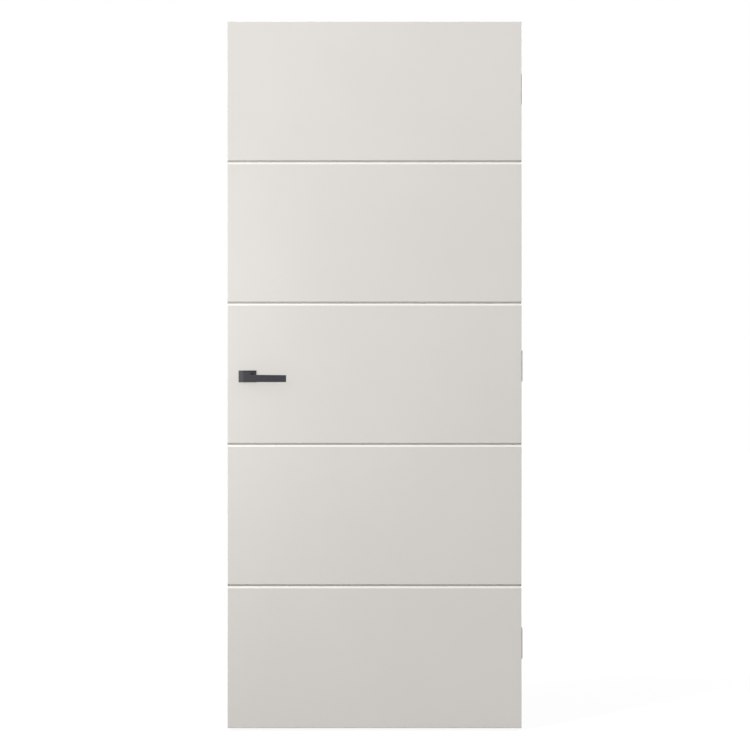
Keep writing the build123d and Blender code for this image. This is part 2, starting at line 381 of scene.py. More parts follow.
class DustAndTopShade(Patchy):
    """A fine dusting that lies on a level top, thinner in patches, together with a painted shade that
    darkens the top, which the lamps light brightest.
    """

    title = "dust and painted top shade"
    inputs = {"Vector": "Vector", "Top": "Float", "Reach": "Float", "Break Up": "Float"}
    window = (0.3, 0.7)
    least = 0.8

    def wire(self, nodes: Nodes, given: Sockets) -> dict[str, Socket]:
        """The mask rises to one at the top from nothing at the reach under it, times a patchy noise."""
        start = nodes.math("SUBTRACT", given["Top"], given["Reach"])
        near = nodes.spread(nodes.axes(given["Vector"])["Z"], start, given["Top"], 0.0, 1.0)
        return {"Mask": self.broken_up(nodes, given, near)}


class BoreShade(Effect):
    """Painted shade inside a small hole across the leaf: the hole's inside is coloured near black."""

    title = "painted bore shade"
    inputs = {"Vector": "Vector", "Centre": "Vector", "Radius": "Float", "Edge": "Float"}
    outputs = {"Mask": "Float"}
    across_leaf: Point = (1.0, 0.0, 1.0)

    def wire(self, nodes: Nodes, given: Sockets) -> dict[str, Socket]:
        """The mask is one within the radius from the hole's axis, and falls to nothing over the edge."""
        offset = nodes.vector("SUBTRACT", given["Vector"], given["Centre"])["Vector"]
        flat = nodes.vector("MULTIPLY", offset, self.across_leaf)["Vector"]
        away = nodes.vector("LENGTH", flat)["Value"]
        rim = nodes.math("ADD", given["Radius"], given["Edge"])
        return {"Mask": nodes.spread(away, given["Radius"], rim, 1.0, 0.0)}


ORANGE_PEEL = OrangePeel()
TONE_DRIFT = ToneDrift()
GLOSS_DRIFT = GlossDrift()
BRUSH_LINES = BrushLines()
JOINT_LINE = JointLine()
HAND_RUB = HandRub()
DUST_AND_TOP_SHADE = DustAndTopShade()
BORE_SHADE = BoreShade()


def rgba(colour: Colour) -> tuple[float, float, float, float]:
    """Returns the colour with full opacity."""
    return (*colour, 1.0)


class Paint(Nodes):
    """A new material's nodes, with its Principled shader and the object's coordinates."""

    def __init__(self, name: str) -> None:
        """Starts the material of that name."""
        self.material = bpy.data.materials.new(name)
        self.material.use_nodes = True
        super().__init__(self.material.node_tree)
        self.shader = self.tree.nodes["Principled BSDF"]
        self.coordinates = self.add("ShaderNodeTexCoord").outputs["Object"]

    def cover(self, colour: Term, roughness: Term, height: Term, depth: float) -> Material:
        """Feeds the shader.

        Args:
            colour: The base colour.
            roughness: The roughness.
            height: The height of the fine relief, from 0 to 1.
            depth: The depth in metres that a height of 1 stands for.

        Returns:
            The material.
        """
        self.feed(self.shader.inputs["Base Color"], colour)
        self.feed(self.shader.inputs["Roughness"], roughness)
        self.feed(self.shader.inputs["Normal"], self.bump(height, depth))
        return self.material


@dataclass(frozen=True)
class Finish:
    """What every finish has: a colour that drifts a little over the surface."""

    colour: Colour
    tone_scale: float
    tone_amount: float

    def tone(self, paint: Paint) -> Socket:
        """Returns the colour with its drift, in the material that is given."""
        place = paint.coordinates
        base = rgba(self.colour)
        drift = TONE_DRIFT.place(
            paint, Vector=place, Color=base, Scale=self.tone_scale, Amount=self.tone_amount
        )
        return drift["Color"]


@dataclass(frozen=True)
class Coat(Finish):
    """A finish whose gloss wanders too."""

    gloss_scale: float
    gloss_low: float
    gloss_high: float

    def gloss(self, paint: Paint) -> Socket:
        """Returns the roughness with its drift, in the material that is given."""
        place = paint.coordinates
        drift = GLOSS_DRIFT.place(
            paint, Vector=place, Scale=self.gloss_scale, Low=self.gloss_low, High=self.gloss_high
        )
        return drift["Roughness"]


@dataclass(frozen=True)
class Lacquer(Coat):
    """Sprayed satin lacquer on board: off-white, a faint orange peel, hairlines at the joints, painted
    shade along the grooves' bottoms, and a dusting on top that is also painted shade on the brightly lit
    top.
    """

    colour: Colour = (0.760, 0.740, 0.710)
    tone_scale: float = 2.2
    tone_amount: float = 0.012
    gloss_scale: float = 9.0
    gloss_low: float = 0.36
    gloss_high: float = 0.46
    joint_and_groove_shade_colour: Colour = (0.50, 0.48, 0.45)
    joint_share: float = 0.55
    joint_half_width: float = 0.35 * MM
    joint_depth: float = 3.0
    groove_shade_share: float = 0.45
    groove_shade_half_width: float = 0.7 * MM
    peel_scale: float = 430.0
    peel_depth: float = 0.022 * MM
    dust_and_top_shade_colour: Colour = (0.58, 0.565, 0.54)
    dust_and_top_shade_share: float = 0.65
    dust_and_top_shade_reach: float = 0.6 * MM
    dust_and_top_shade_break_up: float = 110.0
    dust_and_top_shade_gloss: float = 0.85

    def lines(self, paint: Paint, axis: Socket, places: tuple[float, ...], half_width: float) -> Term:
        """Draws lines across one axis: the joints' hairlines, or the painted shade along the grooves.

        Args:
            paint: The material's nodes.
            axis: The coordinate that the lines are set out on.
            places: Where the lines lie on it.
            half_width: Half of a line's width.

        Returns:
            The mask of all the lines, or nothing where there are none.
        """
        drawn = 0.0
        for at in places:
            mask = JOINT_LINE.place(paint, Coordinate=axis, Place=at, Half_Width=half_width)["Mask"]
            drawn = paint.math("MAXIMUM", drawn, mask)
        return drawn

    def material(
        self,
        name: str,
        skin_y: float,
        top_z: float,
        cross_x: tuple[float, ...] = (),
        groove_z: tuple[float, ...] = (),
    ) -> Material:
        """Makes the lacquer for one kind of member.

        Args:
            name: The material's name.
            skin_y: How far from the middle plane the skins meet the frame.
            top_z: The height of the leaf's top, where a dusting and a painted shade darken the brightly
                lit top.
            cross_x: Where the rails meet the stiles, for members that show those joints.
            groove_z: The heights of the grooves, each of which gets a painted shade line along its
                bottom, for members that have them.

        Returns:
            The material.
        """
        paint = Paint(name)
        place = paint.coordinates
        axes = paint.axes(place)
        across = paint.math("ABSOLUTE", axes["Y"])
        skins = self.lines(paint, across, (skin_y,), self.joint_half_width)
        rails = self.lines(paint, axes["X"], cross_x, self.joint_half_width)
        joints = paint.math("MAXIMUM", skins, rails)
        # Painted shade: a darker band along each groove's bottom deepens its shadow line, in the joints'
        # darker colour.
        grooves = self.lines(paint, axes["Z"], groove_z, self.groove_shade_half_width)
        soft_joints = paint.math("MULTIPLY", joints, self.joint_share)
        soft_groove_shade = paint.math("MULTIPLY", grooves, self.groove_shade_share)
        shade = paint.math("MAXIMUM", soft_joints, soft_groove_shade)
        coat = paint.tint(shade, self.tone(paint), rgba(self.joint_and_groove_shade_colour))
        # A dusting on the top plus painted shade: the darker colour darkens the top face, which the lamps
        # light brightest.
        dust_and_top_shade = DUST_AND_TOP_SHADE.place(
            paint, Vector=place, Top=top_z, Reach=self.dust_and_top_shade_reach, Break_Up=self.dust_and_top_shade_break_up
        )
        dust_and_top_shade_amount = paint.math("MULTIPLY", dust_and_top_shade["Mask"], self.dust_and_top_shade_share)
        colour = paint.tint(dust_and_top_shade_amount, coat, rgba(self.dust_and_top_shade_colour))
        gloss = paint.spread(dust_and_top_shade_amount, 0.0, 1.0, self.gloss(paint), self.dust_and_top_shade_gloss)
        peel = ORANGE_PEEL.place(paint, Vector=place, Scale=self.peel_scale)["Height"]
        height = paint.math("MULTIPLY_ADD", joints, -self.joint_depth, peel)
        return paint.cover(colour, gloss, height, self.peel_depth)


@dataclass(frozen=True)
class PowderCoat(Coat):
    """Matt anthracite powder coat: a fine even grain, a slight polish where a hand goes, and painted
    shade inside a hole.
    """

    colour: Colour = (0.027, 0.0265, 0.030)
    tone_scale: float = 60.0
    tone_amount: float = 0.07
    gloss_scale: float = 220.0
    gloss_low: float = 0.40
    gloss_high: float = 0.50
    grain_scale: float = 1900.0
    grain_depth: float = 0.03 * MM
    rubbed_colour: Colour = (0.0165, 0.016, 0.034)
    rubbed_gloss: float = 0.36
    rub_break_up: float = 150.0
    bore_shade_colour: Colour = (0.004, 0.004, 0.004)
    bore_shade_gloss: float = 0.85
    bore_shade_edge: float = 0.1 * MM

    def material(
        self,
        name: str,
        rub_centre: Point,
        rub_reach: float,
        bore_centre: Point | None = None,
        bore_r: float = 0.0,
    ) -> Material:
        """Makes the coat for one piece.

        Args:
            name: The material's name.
            rub_centre: The middle of the place where hands rub it.
            rub_reach: How far from there the polish reaches.
            bore_centre: A point on the axis of a hole whose inside gets painted shade, if there is one.
            bore_r: That hole's radius.

        Returns:
            The material.
        """
        paint = Paint(name)
        place = paint.coordinates
        rub = HAND_RUB.place(
            paint, Vector=place, Centre=rub_centre, Reach=rub_reach, Break_Up=self.rub_break_up
        )
        colour = paint.tint(rub["Mask"], self.tone(paint), rgba(self.rubbed_colour))
        gloss = paint.spread(rub["Mask"], 0.0, 1.0, self.gloss(paint), self.rubbed_gloss)
        # Painted shade: the hole's inside is coloured near black and made rough, as if no light reached
        # it.
        if bore_centre is not None:
            bore_shade_mask = BORE_SHADE.place(
                paint, Vector=place, Centre=bore_centre, Radius=bore_r, Edge=self.bore_shade_edge
            )
            colour = paint.tint(bore_shade_mask["Mask"], colour, rgba(self.bore_shade_colour))
            gloss = paint.spread(bore_shade_mask["Mask"], 0.0, 1.0, gloss, self.bore_shade_gloss)
        grain = ORANGE_PEEL.place(paint, Vector=place, Scale=self.grain_scale)["Height"]
        return paint.cover(colour, gloss, grain, self.grain_depth)


@dataclass(frozen=True)
class BrushedSteel(Finish):
    """Satin stainless steel, brushed or turned one way."""

    colour: Colour = (0.55, 0.545, 0.53)
    tone_scale: float = 40.0
    tone_amount: float = 0.05
    scratch_colour: Colour = (0.44, 0.435, 0.425)
    gloss_low: float = 0.27
    gloss_high: float = 0.42
    line_window: Span = (0.3, 0.7)
    line_depth: float = 0.006 * MM

    def material(self, name: str, grain: Grain) -> Material:
        """Makes the steel with its lines running one way.

        Args:
            name: The material's name.
            grain: The lines' direction.

        Returns:
            The material.
        """
        paint = Paint(name)
        stretch = paint.add("ShaderNodeMapping", paint.coordinates)
        stretch.inputs["Scale"].default_value = grain.value
        lines = BRUSH_LINES.place(paint, Vector=stretch.outputs["Vector"])
        colour = paint.tint(lines["Scratch"], self.tone(paint), rgba(self.scratch_colour))
        gloss = paint.spread(lines["Height"], *self.line_window, self.gloss_low, self.gloss_high)
        paint.shader.inputs["Metallic"].default_value = 1.0
        return paint.cover(colour, gloss, lines["Height"], self.line_depth)


@dataclass(frozen=True)
class Polymer(Coat):
    """Moulded polymer with a fine spark-eroded grain."""

    colour: Colour = (0.022, 0.022, 0.023)
    tone_scale: float = 90.0
    tone_amount: float = 0.10
    gloss_scale: float = 300.0
    gloss_low: float = 0.40
    gloss_high: float = 0.52
    grain_scale: float = 2600.0
    grain_depth: float = 0.02 * MM

    def material(self, name: str) -> Material:
        """Returns the polymer as a material of that name."""
        paint = Paint(name)
        grain = ORANGE_PEEL.place(paint, Vector=paint.coordinates, Scale=self.grain_scale)["Height"]
        return paint.cover(self.tone(paint), self.gloss(paint), grain, self.grain_depth)


@dataclass(frozen=True)
class RawBoard(Finish):
    """Raw pressed board: mottled fibres in two browns."""

    colour: Colour = (0.42, 0.29, 0.17)
    tone_scale: float = 14.0
    tone_amount: float = 0.12
    roughness: float = 0.85
    fibre_colour: Colour = (0.30, 0.19, 0.10)
    fibre_scale: float = 260.0
    fibre_window: Span = (0.4, 0.6)
    fibre_depth: float = 0.15 * MM

    def material(self, name: str) -> Material:
        """Makes the board.

        Args:
            name: The material's name.

        Returns:
            The material.
        """
        paint = Paint(name)
        fibres = ORANGE_PEEL.place(paint, Vector=paint.coordinates, Scale=self.fibre_scale)["Height"]
        share = paint.spread(fibres, *self.fibre_window, 0.0, 1.0)
        colour = paint.tint(share, self.tone(paint), rgba(self.fibre_colour))
        return paint.cover(colour, self.roughness, fibres, self.fibre_depth)


@dataclass(frozen=True)
class Surface:
    """A grid of points, rows by columns, that is joined into quads."""

    points: np.ndarray
    closed_rows: bool = False
    closed_columns: bool = True

    def quads(self, first: int = 0) -> np.ndarray:
        """Joins each point with the next one of its row and column, round the ends where they are closed.

        Args:
            first: The index of the grid's first point in the mesh.

        Returns:
            Four point indices a quad.
        """
        rows, columns = self.points.shape[:2]
        index = first + np.arange(rows * columns).reshape(rows, columns)
        below = np.roll(index, -1, axis=0)
        beside = np.roll(index, -1, axis=1)
        across = np.roll(below, -1, axis=1)
        quads = np.stack([index, beside, across, below], axis=-1)
        last_row = rows if self.closed_rows else rows - 1
        last_column = columns if self.closed_columns else columns - 1
        return quads[:last_row, :last_column].reshape(-1, 4)


def put_in_scene(name: str, data: bpy.types.ID) -> bpy.types.Object:
    """Returns a new object in the scene, at the origin, of the mesh, lamp or lens that is given."""
    thing = bpy.data.objects.new(name, data)
    bpy.context.scene.collection.objects.link(thing)
    return thing


def make_piece(
    name: str, surfaces: list[Surface], material: Material, body: Body
) -> bpy.types.Object:
    """Makes one object of closed surfaces, with its place in its mesh.

    Args:
        name: The piece's name.
        surfaces: Its grids.
        material: Its finish.
        body: The body that it moves with.

    Returns:
        The object.
    """
    counts = np.cumsum([0] + [s.points.shape[0] * s.points.shape[1] for s in surfaces])
    points = np.concatenate([s.points.reshape(-1, 3) for s in surfaces])
    quads = np.concatenate([s.quads(first) for s, first in zip(surfaces, counts)])
    mesh = bpy.data.meshes.new(name)
    mesh.from_pydata(points.tolist(), [], quads.tolist())
    shape = bmesh.new()
    shape.from_mesh(mesh)
    bmesh.ops.remove_doubles(shape, verts=shape.verts, dist=MERGE_DISTANCE)
    bmesh.ops.dissolve_degenerate(shape, edges=shape.edges, dist=MERGE_DISTANCE)
    bmesh.ops.recalc_face_normals(shape, faces=shape.faces)
    shape.to_mesh(mesh)
    shape.free()
    mesh.polygons.foreach_set("use_smooth", np.ones(len(mesh.polygons), bool))
    mesh.set_sharp_from_angle(angle=SMOOTH_ANGLE)
    mesh.materials.append(material)
    piece = put_in_scene(name, mesh)
    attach(piece, body.value)
    return piece


def dress_node(name: str, material: Material) -> None:
    """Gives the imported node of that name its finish."""
    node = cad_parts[name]
    node.data.materials.clear()
    node.data.materials.append(material)


def spun(profile: np.ndarray, angles: np.ndarray, centre: Point, axis: Point, start: Point) -> np.ndarray:
    """A profile of (radius, height) points turned round an axis.

    Each point lies at the centre, plus its height along the axis, plus its radius in the direction that
    the angle gives in the plane across the axis. The angles may differ from row to row.

    Args:
        profile: Rows of radius and height, as (rows, 2) or as (rows, columns, 2).
        angles: One angle a column, as (columns,) or as (rows, columns).
        centre: The point where height is nothing.
        axis: The unit direction of the height.
        start: The unit direction at the angle nothing.

    Returns:
        Points as (rows, columns, 3).
    """
    up = np.array(axis, float)
    first = np.array(start, float)
    second = np.cross(up, first)
    if profile.ndim == 2:
        profile = np.repeat(profile[:, None, :], angles.shape[-1], axis=1)
    radius = profile[..., :1]
    height = profile[..., 1:]
    turned = np.broadcast_to(angles, profile.shape[:2])[..., None]
    return np.array(centre) + height * up + radius * (np.cos(turned) * first + np.sin(turned) * second)


def full_turn(steps: int) -> np.ndarray:
    """Returns evenly spaced angles of a whole turn, without the last one, which is the first."""
    return np.arange(steps) * (2.0 * math.pi / steps)


@dataclass(frozen=True)
class CountersunkScrew:
    """A countersunk wood screw's head with a cross recess.

    A quarter of the head has seven spokes. Each has its share of the way from one arm's side to the
    next, and lies on the recess's floor or on the top. The rings are shares of the recess's core, of
    its reach and of the top's radius.
    """

    head_r: float
    shank_r: float
    reach: float
    below: float = 0.12 * MM
    dome: float = 0.18 * MM
    edge: float = 0.12 * MM
    recess_share: float = 0.56
    arm_share: float = 0.24
    recess_depth: float = 1.5 * MM
    floor_share: float = 0.4
    core_rings: tuple[float, ...] = (0.0, 0.5, 1.0, 1.7)
    arm_rings: tuple[float, ...] = (0.75, 0.94, 1.0)
    top_rings: tuple[float, ...] = (0.8, 1.0)
    spoke_shares: tuple[float, ...] = (0.0, 0.0, 0.0, 0.33, 0.67, 1.0, 1.0)
    spoke_on_floor: tuple[bool, ...] = (True, True, False, False, False, False, True)

    def surface(self, centre: Point, outward: Point, turn: float) -> Surface:
        """The head as a grid of rings and spokes, with the spokes gathered on the recess's walls.

        The top is a shallow dome: its height falls with the square of the radius. Inside the recess the
        floor rises in a straight line from the middle to the arms' ends. A spoke on an arm's side lies at
        the angle whose sine is half the arm's width over the radius, once on the floor and once on the
        top, so that the wall between them is upright. The cone under the rim runs in to the shank.

        Args:
            centre: The middle of the head, on the face that it is sunk in.
            outward: The unit direction out of that face.
            turn: How far the recess is turned.

        Returns:
            The closed surface.
        """
        recess_r = self.recess_share * self.head_r
        top_r = self.head_r - self.edge
        arm = self.arm_share * self.head_r
        core = arm / math.sqrt(2.0)
        parts = ((self.core_rings, core), (self.arm_rings, recess_r), (self.top_rings, top_r))
        rings = np.concatenate([np.array(shares) * radius for shares, radius in parts])
        sine = np.clip(arm / (2.0 * np.maximum(rings, MERGE_DISTANCE)), 0.0, math.sqrt(0.5))
        side = np.arcsin(sine)[:, None]
        local = side + np.array(self.spoke_shares) * (QUARTER_TURN - 2.0 * side)
        local[:, :1] = 0.0
        angles = np.concatenate([local + QUARTER_TURN * i for i in range(4)], axis=1)
        deep = np.tile(self.spoke_on_floor, 4)[None, :] | (rings <= core)[:, None]
        top = self.dome * (1.0 - (rings / self.head_r) ** 2) - self.below - self.dome
        rise = 1.0 - (1.0 - self.floor_share) * rings / recess_r
        floor = np.where(rings < recess_r, self.recess_depth * rise, 0.0)
        heights = top[:, None] - np.where(deep, floor[:, None], 0.0)
        radii = np.repeat(rings[:, None], angles.shape[1], axis=1)
        lip = -self.below - self.dome - self.edge
        cone = self.head_r - self.shank_r
        outside_r = (self.head_r, self.shank_r, self.shank_r, 0.0)
        outside_z = (lip, lip - cone, -self.reach, -self.reach)
        rim = np.repeat(np.stack([outside_r, outside_z], axis=-1)[:, None, :], angles.shape[1], axis=1)
        profile = np.concatenate([np.stack([radii, heights], axis=-1), rim])
        all_angles = np.concatenate([angles, np.repeat(angles[-1:], len(rim), axis=0)]) + turn
        return Surface(spun(profile, all_angles, centre, outward, (0.0, 0.0, 1.0)))


@dataclass(frozen=True)
class Collar:
    """A flat ring with rounded edges."""

    inner_r: float
    outer_r: float
    thickness: float
    round_r: float
    corner_points: int = 4
    steps: int = 64

    def surface(self, centre: Point, axis: Point) -> Surface:
        """The ring as a closed profile turned round the axis, which is Y or Z.

        The profile is a rectangle whose corners are cut by quarter circles of the rounding radius.

        Args:
            centre: The middle of the ring's lower face.
            axis: The unit direction from the lower face to the upper one.

        Returns:
            The closed surface.
        """
        quarter = np.linspace(0.0, QUARTER_TURN, self.corner_points)
        radii = (self.inner_r + self.round_r, self.outer_r - self.round_r)
        heights = (self.round_r, self.thickness - self.round_r)
        corners = np.array([(radii[i], heights[j]) for i, j in ((1, 1), (0, 1), (0, 0), (1, 0))])
        turns = quarter + np.arange(4)[:, None] * QUARTER_TURN
        arcs = corners[:, None, :] + self.round_r * np.stack([np.cos(turns), np.sin(turns)], axis=-1)
        points = spun(arcs.reshape(-1, 2), full_turn(self.steps), centre, axis, (1.0, 0.0, 0.0))
        return Surface(points, closed_rows=True)


@dataclass(frozen=True)
class GrubScrew:
    """A headless set screw with a chamfered end and a hexagon socket."""

    radius: float
    length: float
    socket: float
    socket_depth: float
    edge: float = 0.3 * MM
    steps: int = 48

    def surface(self, centre: Point, outward: Point) -> Surface:
        """The screw as rings round its axis, two of which are hexagons.

        A hexagon's radius at an angle is its half width across the flats, over the cosine of the angle to
        the middle of the nearest side. The same hexagon stands on the socket's floor and at its mouth.

        Args:
            centre: The middle of the socketed end.
            outward: The unit direction out of that end.

        Returns:
            The closed surface.
        """
        turn = full_turn(self.steps)
        side = math.pi / 3.0
        hexagon = self.socket / 2.0 / np.cos((turn + side / 2.0) % side - side / 2.0)
        rings = [
            (0.0, -self.socket_depth),
            (hexagon, -self.socket_depth),
            (hexagon, 0.0),
            (self.radius - self.edge, 0.0),
            (self.radius, -self.edge),
            (self.radius, -self.length),
            (0.0, -self.length),
        ]
        radii = np.stack([np.broadcast_to(radius, self.steps) for radius, _ in rings])
        heights = np.stack([np.broadcast_to(height, self.steps) for _, height in rings])
        profile = np.stack([radii, heights], axis=-1)
        return Surface(spun(profile, turn, centre, outward, (1.0, 0.0, 0.0)))


class Assembly:
    """A group of pieces that is dressed, and that may add small fittings."""

    def dress(self) -> None:
        """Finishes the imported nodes."""
        raise NotImplementedError

    def build(self) -> Pieces:
        """Returns the new pieces, of which there may be none."""
        return []


@dataclass
class DoorLeaf(Assembly):
    """The leaf: two grooved skins on a timber frame with a board between its members."""

    grooves: int = 4
    groove_from_top: float = 421.0 * MM
    groove_pitch: float = 423.0 * MM
    lacquer: Lacquer = Lacquer()
    board: RawBoard = RawBoard()

    def dress(self) -> None:
        """Lacquers the skins and the frame's members, with hairlines where they meet and painted shade
        along the skins' grooves.
        """
        skin_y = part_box("hinge_stile")[1].y
        rail_low, rail_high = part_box("top_rail")
        first_groove = rail_high.z - self.groove_from_top
        groove_z = tuple(first_groove - i * self.groove_pitch for i in range(self.grooves))
        rail_ends = (rail_low.x, rail_high.x)
        faces = self.lacquer.material("lacquer_on_skins", skin_y, rail_high.z, groove_z=groove_z)
        edges = self.lacquer.material("lacquer_on_edges", skin_y, rail_high.z, cross_x=rail_ends)
        for name in ("front_skin", "back_skin"):
            dress_node(name, faces)
        for name in ("lock_stile", "hinge_stile", "top_rail", "bottom_rail"):
            dress_node(name, edges)
        dress_node("core_panel", self.board.material("raw_board"))


@dataclass
class LockEdge(Assembly):
    """The lock in the leaf's edge: faceplate, latch, case, and the faceplate's two screws."""

    screw: CountersunkScrew = CountersunkScrew(head_r=3.8 * MM, shank_r=2.0 * MM, reach=2.9 * MM)
    screws_apart: float = 156.0 * MM
    turns: Span = (0.35, 1.1)
    steel: BrushedSteel = BrushedSteel()
    polymer: Polymer = Polymer()

    def build(self) -> Pieces:
        """Makes the two screws.

        Returns:
            The new pieces.
        """
        low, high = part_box("lock_faceplate")
        middle = (low + high) / 2
        turned = self.steel.material("lock_screw_steel", Grain.ACROSS)
        pieces = []
        for name, side, turn in zip(("lower", "upper"), (-1, 1), self.turns):
            centre = (low.x, middle.y, middle.z + side * self.screws_apart / 2)
            surface = self.screw.surface(centre, (-1.0, 0.0, 0.0), turn)
            pieces.append(make_piece(f"{name}_faceplate_screw", [surface], turned, Body.LEAF))
        return pieces

    def dress(self) -> None:
        """Finishes the faceplate, the case and the latch."""
        brushed = self.steel.material("lock_steel_brushed", Grain.UPRIGHT)
        dress_node("lock_faceplate", brushed)
        dress_node("lock_case", brushed)
        dress_node("latch_bolt", self.polymer.material("latch_polymer"))


@dataclass
class LeverSet(Assembly):
    """Both levers with their roses and the bar between them, the bearing rings and the grub screws."""

    ring: Collar = Collar(inner_r=9.7 * MM, outer_r=11.2 * MM, thickness=0.5 * MM, round_r=0.15 * MM)
    grub: GrubScrew = GrubScrew(radius=2.0 * MM, length=5.0 * MM, socket=2.0 * MM, socket_depth=1.6 * MM)
    grub_standoff: float = 14.5 * MM
    grub_sunk: float = 0.45 * MM
    neck_r: float = 9.5 * MM
    release_right: float = 12.6 * MM
    release_up: float = 6.6 * MM
    release_r: float = 2.7 * MM
    grip_share: float = 2.0 / 3.0
    grip_rub: float = 75.0 * MM
    rose_rub: float = 12.0 * MM
    coat: PowderCoat = PowderCoat()
    polymer: Polymer = Polymer()
    bar: BrushedSteel = BrushedSteel()
    blackened: BrushedSteel = BrushedSteel(colour=(0.05, 0.05, 0.053), scratch_colour=(0.09, 0.09, 0.09))

    def build(self) -> Pieces:
        """Makes the bearing rings on the roses' outer faces, and the grub screws under the necks.

        Returns:
            The new pieces.
        """
        black = self.polymer.material("bearing_polymer")
        blackened = self.blackened.material("grub_screw_steel", Grain.TURNED)
        pieces = []
        for side, outward in (("front", -1.0), ("back", 1.0)):
            low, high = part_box(f"{side}_rose")
            face, foot = (low.y, high.y) if outward < 0 else (high.y, low.y)
            x = (low.x + high.x) / 2
            z = (low.z + high.z) / 2
            ring = self.ring.surface((x, face, z), (0.0, outward, 0.0))
            pieces.append(make_piece(f"{side}_bearing_ring", [ring], black, Body.LEAF))
            under = (x, foot + outward * self.grub_standoff, z - self.neck_r + self.grub_sunk)
            grub = self.grub.surface(under, (0.0, 0.0, -1.0))
            pieces.append(make_piece(f"{side}_grub_screw", [grub], blackened, Body.LEVERS))
        return pieces

    def dress(self) -> None:
        """Coats the levers and the roses, with a slight polish on each grip and painted shade inside each
        rose's release hole.
        """
        for side in ("front", "back"):
            low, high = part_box(f"{side}_lever")
            outer = low.y if side == "front" else high.y
            grip = (low.x + self.grip_share * (high.x - low.x), outer, (low.z + high.z) / 2)
            dress_node(f"{side}_lever", self.coat.material(f"{side}_lever_coat", grip, self.grip_rub))
            low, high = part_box(f"{side}_rose")
            corner = (low.x, low.y if side == "front" else high.y, low.z)
            middle = (low + high) / 2
            release = (middle.x + self.release_right, middle.y, middle.z + self.release_up)
            coat = self.coat.material(f"{side}_rose_coat", corner, self.rose_rub, release, self.release_r)
            dress_node(f"{side}_rose", coat)
        dress_node("spindle", self.bar.material("spindle_steel", Grain.ACROSS))


@dataclass
class Hinge(Assembly):
    """One butt hinge: plates with knuckles, a pin, the door plate's screws and the knuckles' washers."""

    name: str
    plate_steel: Material
    pin_steel: Material
    screw_steel: Material
    washer_polymer: Material
    screw: CountersunkScrew = CountersunkScrew(head_r=4.1 * MM, shank_r=2.3 * MM, reach=2.4 * MM)
    washer: Collar = Collar(inner_r=3.55 * MM, outer_r=6.2 * MM, thickness=0.3 * MM, round_r=0.1 * MM)
    outer_apart: float = 66.0 * MM
    inner_apart: float = 26.0 * MM
    outer_inset: float = 8.0 * MM
    inner_inset: float = 21.0 * MM
    screw_turn: float = 0.83
    plate_gap: float = 1.5 * MM
    knuckles: int = 5
    knuckle_gap: float = 0.4 * MM

    def screws(self) -> Pieces:
        """Makes the four screws of the door plate, each turned to another angle.

        The pin stands in line with the middle of the gap between the plates, so the door plate's face
        lies half a gap from it.

        Returns:
            The new pieces.
        """
        low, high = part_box(f"{self.name}_hinge_door_leaf")
        pin_low, pin_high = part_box(f"{self.name}_hinge_pin")
        middle = (low.z + high.z) / 2
        face = (pin_low.x + pin_high.x) / 2 - self.plate_gap / 2
        rows = [(self.outer_inset, self.outer_apart), (self.inner_inset, self.inner_apart)]
        places = [(low.y + inset, middle + side * apart / 2) for inset, apart in rows for side in (-1, 1)]
        pieces = []
        for number, (y, z) in enumerate(places, start=1):
            turn = number * self.screw_turn + middle
            surface = self.screw.surface((face, y, z), (1.0, 0.0, 0.0), turn)
            title = f"{self.name}_hinge_screw_{number}"
            pieces.append(make_piece(title, [surface], self.screw_steel, Body.LEAF))
        return pieces

    def washers(self) -> bpy.types.Object:
        """Makes the thin washers between the knuckles, as one piece that stays with the frame side.

        Returns:
            The new piece.
        """
        pin_low, pin_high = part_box(f"{self.name}_hinge_pin")
        low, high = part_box(f"{self.name}_hinge_frame_leaf")
        knuckle = (high.z - low.z - (self.knuckles - 1) * self.knuckle_gap) / self.knuckles
        middle = (pin_low + pin_high) / 2
        room = (self.knuckle_gap - self.washer.thickness) / 2
        rings = []
        for i in range(1, self.knuckles):
            z = low.z + i * (knuckle + self.knuckle_gap) - self.knuckle_gap + room
            rings.append(self.washer.surface((middle.x, middle.y, z), (0.0, 0.0, 1.0)))
        title = f"{self.name}_hinge_washers"
        return make_piece(title, rings, self.washer_polymer, Body.FRAME_SIDE)

    def build(self) -> Pieces:
        """Returns the new screws and washers."""
        return [*self.screws(), self.washers()]

    def dress(self) -> None:
        """Finishes the plates and the pin."""
        dress_node(f"{self.name}_hinge_frame_leaf", self.plate_steel)
        dress_node(f"{self.name}_hinge_door_leaf", self.plate_steel)
        dress_node(f"{self.name}_hinge_pin", self.pin_steel)


@dataclass(frozen=True)
class SoftLamp:
    """A square soft lamp, with its place and aim measured from the leaf's middle.

    Its light passes the nodes that are named, so that they throw only the surround's soft shade.
    """

    name: str
    place: Point
    size: float
    power: float
    passes: tuple[str, ...]
    aim: Point = (0.0, 0.0, 0.0)

    def build(self, centre: Vector) -> None:
        """Adds the lamp.

        Args:
            centre: The point that the lamp's place and aim are measured from.
        """
        light = bpy.data.lights.new(self.name, "AREA")
        light.shape = "SQUARE"
        light.size = self.size
        light.energy = self.power
        lamp = put_in_scene(self.name, light)
        lamp.location = centre + Vector(self.place)
        lamp.rotation_mode = "QUATERNION"
        lamp.rotation_quaternion = (Vector(self.aim) - Vector(self.place)).to_track_quat("-Z", "Y")
        lamp.visible_camera = False
        passed = bpy.data.collections.new(f"{self.name}_passes")
        for name in self.passes:
            passed.objects.link(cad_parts.get(name) or bpy.data.objects[name])
        for entry in passed.collection_objects:
            entry.light_linking.link_state = "EXCLUDE"
        lamp.light_linking.blocker_collection = passed


